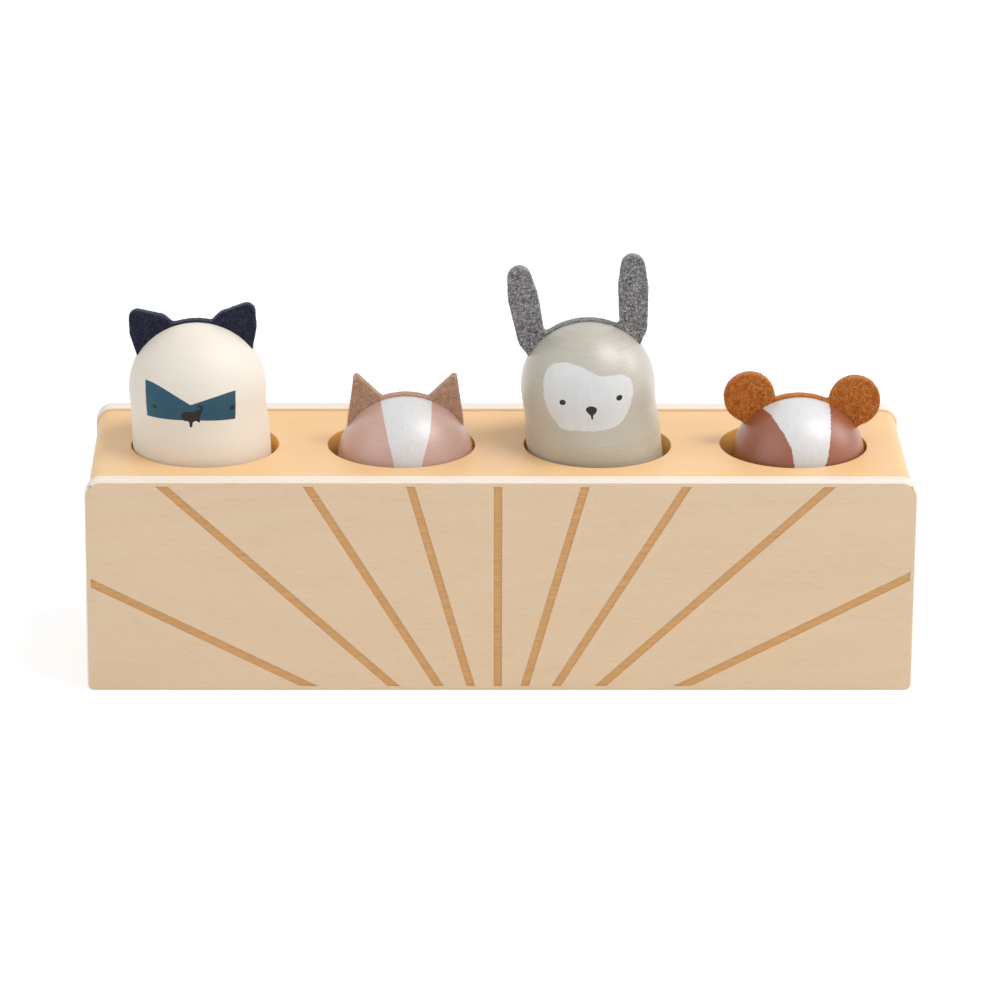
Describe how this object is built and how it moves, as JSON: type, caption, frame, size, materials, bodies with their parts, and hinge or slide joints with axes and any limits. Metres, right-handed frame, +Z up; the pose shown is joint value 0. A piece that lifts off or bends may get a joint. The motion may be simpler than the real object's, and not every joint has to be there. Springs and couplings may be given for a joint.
{
  "type": "pop-up animal toy",
  "caption": "Wooden box with turned animal pegs standing in round holes; pressing one down lifts its neighbour through a see-saw rocker inside.",
  "frame": {"origin": "under the middle of the box, on the surface it stands on", "axes": "+X along the row of animals, to the right as seen from the front; +Y from the front plate to the back plate; +Z up"},
  "size_m": [0.25, 0.076, 0.1267],
  "materials": {
    "birch_plywood": "clear matt lacquer",
    "mustard_paint": "satin water-based paint",
    "beech": "bare, sanded",
    "cream_paint": "satin water-based paint",
    "pink_paint": "satin water-based paint",
    "grey_paint": "satin water-based paint",
    "brown_paint": "satin water-based paint",
    "navy_felt": "pressed felt",
    "beige_felt": "pressed felt",
    "grey_felt": "pressed mottled felt",
    "rust_felt": "pressed felt"
  },
  "bodies": {
    "box": {"front_plate": "birch_plywood", "back_plate": "birch_plywood", "top_panel": "mustard_paint", "bottom_panel": "mustard_paint", "left_end": "mustard_paint", "right_end": "mustard_paint", "plate_dowels": "beech", "left_pivot_rod": "beech", "right_pivot_rod": "beech"},
    "white_cat": {"white_cat_body": "cream_paint", "white_cat_ears": "navy_felt", "white_cat_stop_disc": "beech", "white_cat_push_dowel": "beech"},
    "pink_cat": {"pink_cat_body": "pink_paint", "pink_cat_ears": "beige_felt", "pink_cat_stop_disc": "beech", "pink_cat_push_dowel": "beech"},
    "rabbit": {"rabbit_body": "grey_paint", "rabbit_ears": "grey_felt", "rabbit_stop_disc": "beech", "rabbit_push_dowel": "beech"},
    "bear": {"bear_body": "brown_paint", "bear_ears": "rust_felt", "bear_stop_disc": "beech", "bear_push_dowel": "beech"},
    "left_rocker": {"left_rocker": "beech"},
    "right_rocker": {"right_rocker": "beech"}
  },
  "joints": [
    {"name": "white_cat_press", "type": "slide", "parent": "box", "child": "white_cat", "axis": [0.0611, 0, -0.9981], "range_m": [0, 0.024]},
    {"name": "pink_cat_rise", "type": "slide", "parent": "box", "child": "pink_cat", "axis": [-0.0349, 0, 0.9994], "range_m": [0, 0.024]},
    {"name": "left_rocker_tilt", "type": "hinge", "parent": "box", "child": "left_rocker", "pos_m": [-0.06, 0, 0.0211], "axis": [0, -1, 0], "range_deg": [0, 47.16]},
    {"name": "rabbit_press", "type": "slide", "parent": "box", "child": "rabbit", "axis": [0.1115, 0, -0.9938], "range_m": [0, 0.024]},
    {"name": "bear_rise", "type": "slide", "parent": "box", "child": "bear", "axis": [0, 0, 1], "range_m": [0, 0.024]},
    {"name": "right_rocker_tilt", "type": "hinge", "parent": "box", "child": "right_rocker", "pos_m": [0.06, 0, 0.0211], "axis": [0, -1, 0], "range_deg": [0, 47.16]}
  ],
  "couplings": [
    {"joint": "pink_cat_rise", "follows": "white_cat_press", "ratio": 1},
    {"joint": "left_rocker_tilt", "follows": "white_cat_press", "rad_per_m": 34.293},
    {"joint": "bear_rise", "follows": "rabbit_press", "ratio": 1},
    {"joint": "right_rocker_tilt", "follows": "rabbit_press", "rad_per_m": 34.293}
  ]
}
